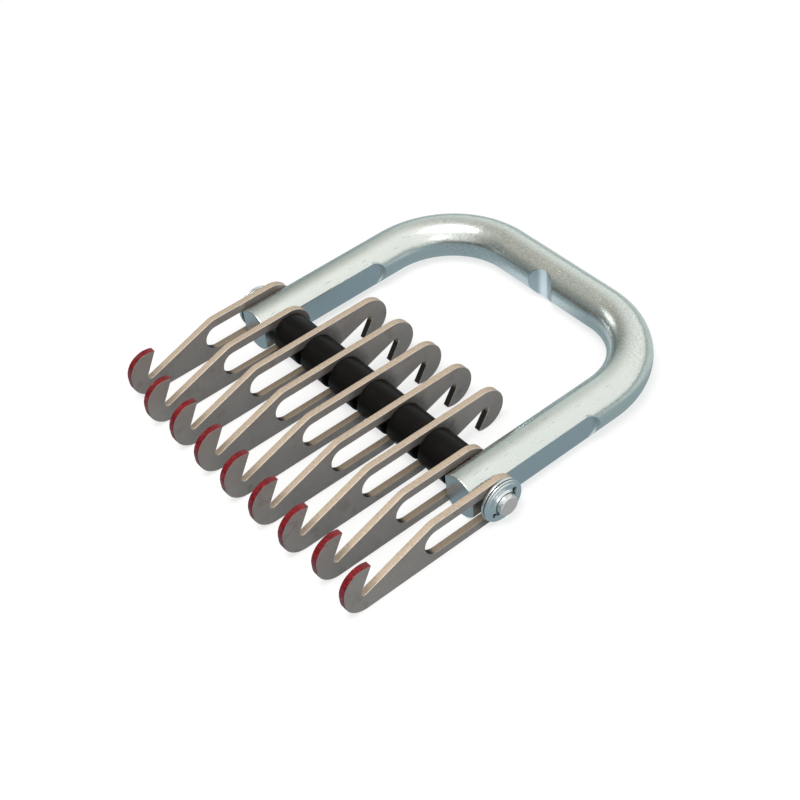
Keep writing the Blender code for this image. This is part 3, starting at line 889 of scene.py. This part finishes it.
def build_plate(number):
    """Walls round the outline and the slot, with what the finish needs on their points, and two faces."""
    short = number in SHORT_PLATES
    low, high = node_box(f"hook_plate_{number}")
    slide = low[1] + FRONT_REACH + HALF_HEIGHT
    rows, faces, start = [], [], 0
    marks = {"edge": [], "slot": [], "paint": [], "along": [], "painted_edge_shade": []}
    for loop, solid_sign, is_slot in ((plate_outline(short), 1.0, 0.0), (slot_outline(), -1.0, 1.0)):
        wall, edge = wall_rows(loop, inward(loop, solid_sign), high[0] - low[0])
        gap = np.linalg.norm(np.roll(loop, -1, axis=0) - loop, axis=1)
        marks["edge"].append(edge.ravel())
        marks["slot"].append(np.full(edge.size, is_slot))
        marks["paint"].append(np.tile(outline_paint(loop) * (1.0 - is_slot), len(edge)))
        marks["along"].append(np.tile(np.cumsum(gap), len(edge)))
        painted_edge_shade = slot_end_shade(loop) if is_slot else finger_edge_shade(loop, short)
        marks["painted_edge_shade"].append(np.tile(painted_edge_shade, len(edge)))
        faces.append(grid_faces(*wall.shape[:2]) + start)
        rows.append(wall.reshape(-1, 3))
        start += wall.shape[0] * wall.shape[1]
    points = np.concatenate(rows) + ((low[0] + high[0]) / 2.0, slide, 0.0)
    values = {key: np.concatenate(parts) for key, parts in marks.items()}
    plate = add_piece(f"steel_hook_plate_{number}", points, np.concatenate(faces), hook_steel, values)
    close_mesh(plate, fill_ends=True)
    for polygon in plate.data.polygons:
        polygon.use_smooth = abs(polygon.normal.x) < FACE_NORMAL
    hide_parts(f"hook_plate_{number}")
    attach(plate, f"plate_{number}")
    return plate


plates = [build_plate(number) for number in range(1, PLATE_COUNT + 1)]
print("hook plates:", len(plates))

# %% [markdown]
# ## Floor, light and camera
# The grip lies on a pale floor under one broad soft light and a weaker one. The floor and the world are
# white where the camera or a reflection meets them, and the floor keeps the shadow.

# %% Floor and world
FLOOR_GLOW = 0.68
FLOOR_HALF_SIZE = 6000.0
FLOOR_GAP = 0.05
WORLD_LIGHT = 0.5


def make_floor():
    """A grey floor for the light that it throws back, and a white one wherever it is seen."""
    corners = np.array([(-1, -1, 0), (1, -1, 0), (1, 1, 0), (-1, 1, 0)]) * FLOOR_HALF_SIZE
    finish = Finish("white_floor", metallic=0.0)
    finish.shader.inputs["Emission Color"].default_value = (1.0, 1.0, 1.0, 1.0)
    finish.shader.inputs["Specular IOR Level"].default_value = 0.0
    rays = finish.node("ShaderNodeLightPath").outputs
    seen = Value(finish, rays["Is Camera Ray"])
    for name in ("Is Glossy Ray", "Is Transmission Ray"):
        seen = seen.math("MAXIMUM", Value(finish, rays[name]))
    finish.tree.links.new((seen * FLOOR_GLOW).socket, finish.shader.inputs["Emission Strength"])
    paper = finish.noise(0.4)
    shown = finish.blend(paper, (0.34, 0.34, 0.34, 1), (0.35, 0.35, 0.35, 1))
    colour = finish.blend(seen, (0.25, 0.25, 0.25, 1), shown)
    finish.use(colour, 0.9 + paper * 0.05)
    corners = corners + (0.0, 0.0, lowest_point() - FLOOR_GAP)
    floor = add_piece("floor", corners, [(0, 1, 2, 3)], finish.material)


def make_world(light_strength):
    """White where it is seen, and of the given strength where it only lights."""
    world = bpy.data.worlds.new("studio")
    bpy.context.scene.world = world
    world.use_nodes = True
    tree = world.node_tree
    rays = tree.nodes.new("ShaderNodeLightPath").outputs
    background = tree.nodes["Background"]
    background.inputs["Color"].default_value = (1.0, 1.0, 1.0, 1.0)
    seen = None
    for name in ("Is Camera Ray", "Is Glossy Ray", "Is Transmission Ray"):
        if seen is None:
            seen = rays[name]
            continue
        either = tree.nodes.new("ShaderNodeMath")
        either.operation = "MAXIMUM"
        tree.links.new(seen, either.inputs[0])
        tree.links.new(rays[name], either.inputs[1])
        seen = either.outputs[0]
    strength = tree.nodes.new("ShaderNodeMapRange")
    strength.inputs["To Min"].default_value = light_strength
    strength.inputs["To Max"].default_value = 1.0
    tree.links.new(seen, strength.inputs["Value"])
    tree.links.new(strength.outputs[0], background.inputs["Strength"])


make_floor()
make_world(WORLD_LIGHT)

# %% [markdown]
# Bright metal has no look of its own: it shows what stands round it, and in a studio that is cards. One
# low card gives the bar its cool sides, and a surround gives it a grey far side and a thin dark horizon.
# Only reflections meet these cards, so they throw no shadow and stay out of every view.

# %% Cards for the reflections
SURROUND_RADIUS = 1500.0
SURROUND_ROWS, SURROUND_COLUMNS = 24, 64
SURROUND_TOP = math.radians(75.0)
LOW_CARD_HALF_SIZE = 1600.0
LOW_CARD_GAP = 0.03
BRIGHT_SIDE = (0.95, 0.31)


def reflection_card(name, points, faces, colour_of):
    """A card that only reflections meet, with an even glow."""
    finish = Finish(name, metallic=0.0)
    finish.shader.inputs["Base Color"].default_value = (0.0, 0.0, 0.0, 1.0)
    finish.shader.inputs["Specular IOR Level"].default_value = 0.0
    finish.shader.inputs["Emission Strength"].default_value = 1.0
    finish.tree.links.new(colour_of(finish), finish.shader.inputs["Emission Color"])
    card = add_piece(name, points, faces, finish.material)
    card.visible_camera = card.visible_diffuse = card.visible_shadow = False
    card.visible_transmission = card.visible_volume_scatter = False


def low_card_colour(finish):
    """Cool grey with a painted shadow of the grip, and painted light behind the cross bar and in the
    opening for the hand.
    """
    away = (finish.x * finish.x + finish.y * finish.y).math("SQRT")
    opening = finish.step(finish.y, 70.0, 92.0) * finish.step(finish.y, 112.0, 98.0)
    opening = opening * finish.step(abs(finish.x + 9.0), 36.0, 10.0)
    shaded = finish.blend(finish.step(away, 40.0, 260.0), (0.27, 0.35, 0.385, 1), (0.44, 0.53, 0.56, 1))
    behind = finish.blend(finish.step(finish.y, 104.0, 124.0), shaded, (0.60, 0.69, 0.68, 1))
    return finish.blend(opening, behind, (0.62, 0.72, 0.78, 1))


def surround_colour(finish):
    """White on the bright side, grey and beige walls on the other, a small window there, a dark horizon."""
    rise = finish.z / SURROUND_RADIUS
    bright = (finish.x * BRIGHT_SIDE[0] + finish.y * BRIGHT_SIDE[1]) / SURROUND_RADIUS
    rear = finish.step(finish.y / SURROUND_RADIUS, 0.25, 0.65)
    low_wall = finish.blend(rear, (0.24, 0.27, 0.26, 1), (0.74, 0.83, 0.81, 1))
    high_wall = finish.blend(rear, (0.43, 0.425, 0.375, 1), (0.60, 0.63, 0.59, 1))
    dim_side = finish.blend(finish.step(rise, 0.3, 0.8), low_wall, high_wall)
    wall = finish.blend(finish.step(bright, -0.72, 0.25), dim_side, (0.98, 1.0, 0.97, 1))
    horizon = finish.step(rise, 0.07, 0.18)
    dark = finish.blend(rear * 0.6, (0.015, 0.035, 0.045, 1), (0.25, 0.38, 0.37, 1))
    window = finish.step(abs(finish.y / SURROUND_RADIUS + 0.2), 0.2, 0.1)
    window = window * finish.step(finish.x, -900.0, -1000.0)
    window = window * finish.step(rise, 0.3, 0.38) * finish.step(rise, 0.62, 0.54)
    wall = finish.blend(window, wall, (2.0, 2.1, 2.1, 1))
    return finish.blend(horizon, dark, wall)


def make_cards():
    """The low card is flat, and the surround is a dome, R (cos h cos t, cos h sin t, sin h)."""
    square = np.array([(-1, -1), (1, -1), (1, 1), (-1, 1)]) * LOW_CARD_HALF_SIZE
    flat = np.column_stack([square, np.full(4, lowest_point() - LOW_CARD_GAP)])
    reflection_card("low_card", flat, [(0, 1, 2, 3)], low_card_colour)
    height = np.linspace(0.0, SURROUND_TOP, SURROUND_ROWS)[:, None]
    turn = np.linspace(0.0, 2.0 * math.pi, SURROUND_COLUMNS, endpoint=False)[None, :]
    dome = SURROUND_RADIUS * np.stack([np.cos(height) * np.cos(turn), np.cos(height) * np.sin(turn),
                                       np.sin(height) + 0.0 * turn], axis=-1)
    reflection_card("surround", dome.reshape(-1, 3), grid_faces(*dome.shape[:2]), surround_colour)


make_cards()

# %% [markdown]
# The lamps are large for their distance, so the shadow under the grip has no hard rim. The camera has a
# long lens, and looks down from the front right.

# %% Lamps


def soft_light(name, place, size, power, colour):
    """A rectangle of light at a place, in metres, that faces the origin."""
    lamp = bpy.data.lights.new(name, "AREA")
    lamp.shape, lamp.size, lamp.size_y = "RECTANGLE", size[0], size[1]
    lamp.energy, lamp.color = power, colour
    holder = bpy.data.objects.new(name, lamp)
    bpy.context.scene.collection.objects.link(holder)
    holder.location = place
    holder.rotation_euler = (-Vector(place)).to_track_quat("-Z", "Y").to_euler()


soft_light("key", place=(0.12, -0.30, 1.3), size=(0.7, 0.6), power=10.5, colour=(1.0, 0.99, 0.96))
soft_light("fill", place=(1.1, -0.7, 0.7), size=(0.8, 0.8), power=4.5, colour=(0.98, 0.99, 1.0))

# %% Camera
CAMERA_PLACE = (385.3, -250.9, 438.5)
CAMERA_TURN = (45.81, 5.01, 50.55)
CAMERA_LENS, CAMERA_SENSOR = 67.11, 36.0


def make_camera():
    """Place in millimetres, turn in degrees about X, Y and Z."""
    data = bpy.data.cameras.new("camera")
    data.lens, data.sensor_width = CAMERA_LENS, CAMERA_SENSOR
    camera = bpy.data.objects.new("camera", data)
    bpy.context.scene.collection.objects.link(camera)
    camera.location = Vector(CAMERA_PLACE) * MM
    camera.rotation_euler = Euler([math.radians(angle) for angle in CAMERA_TURN])
    bpy.context.scene.camera = camera


make_camera()
bpy.context.scene.view_settings.view_transform = "Standard"
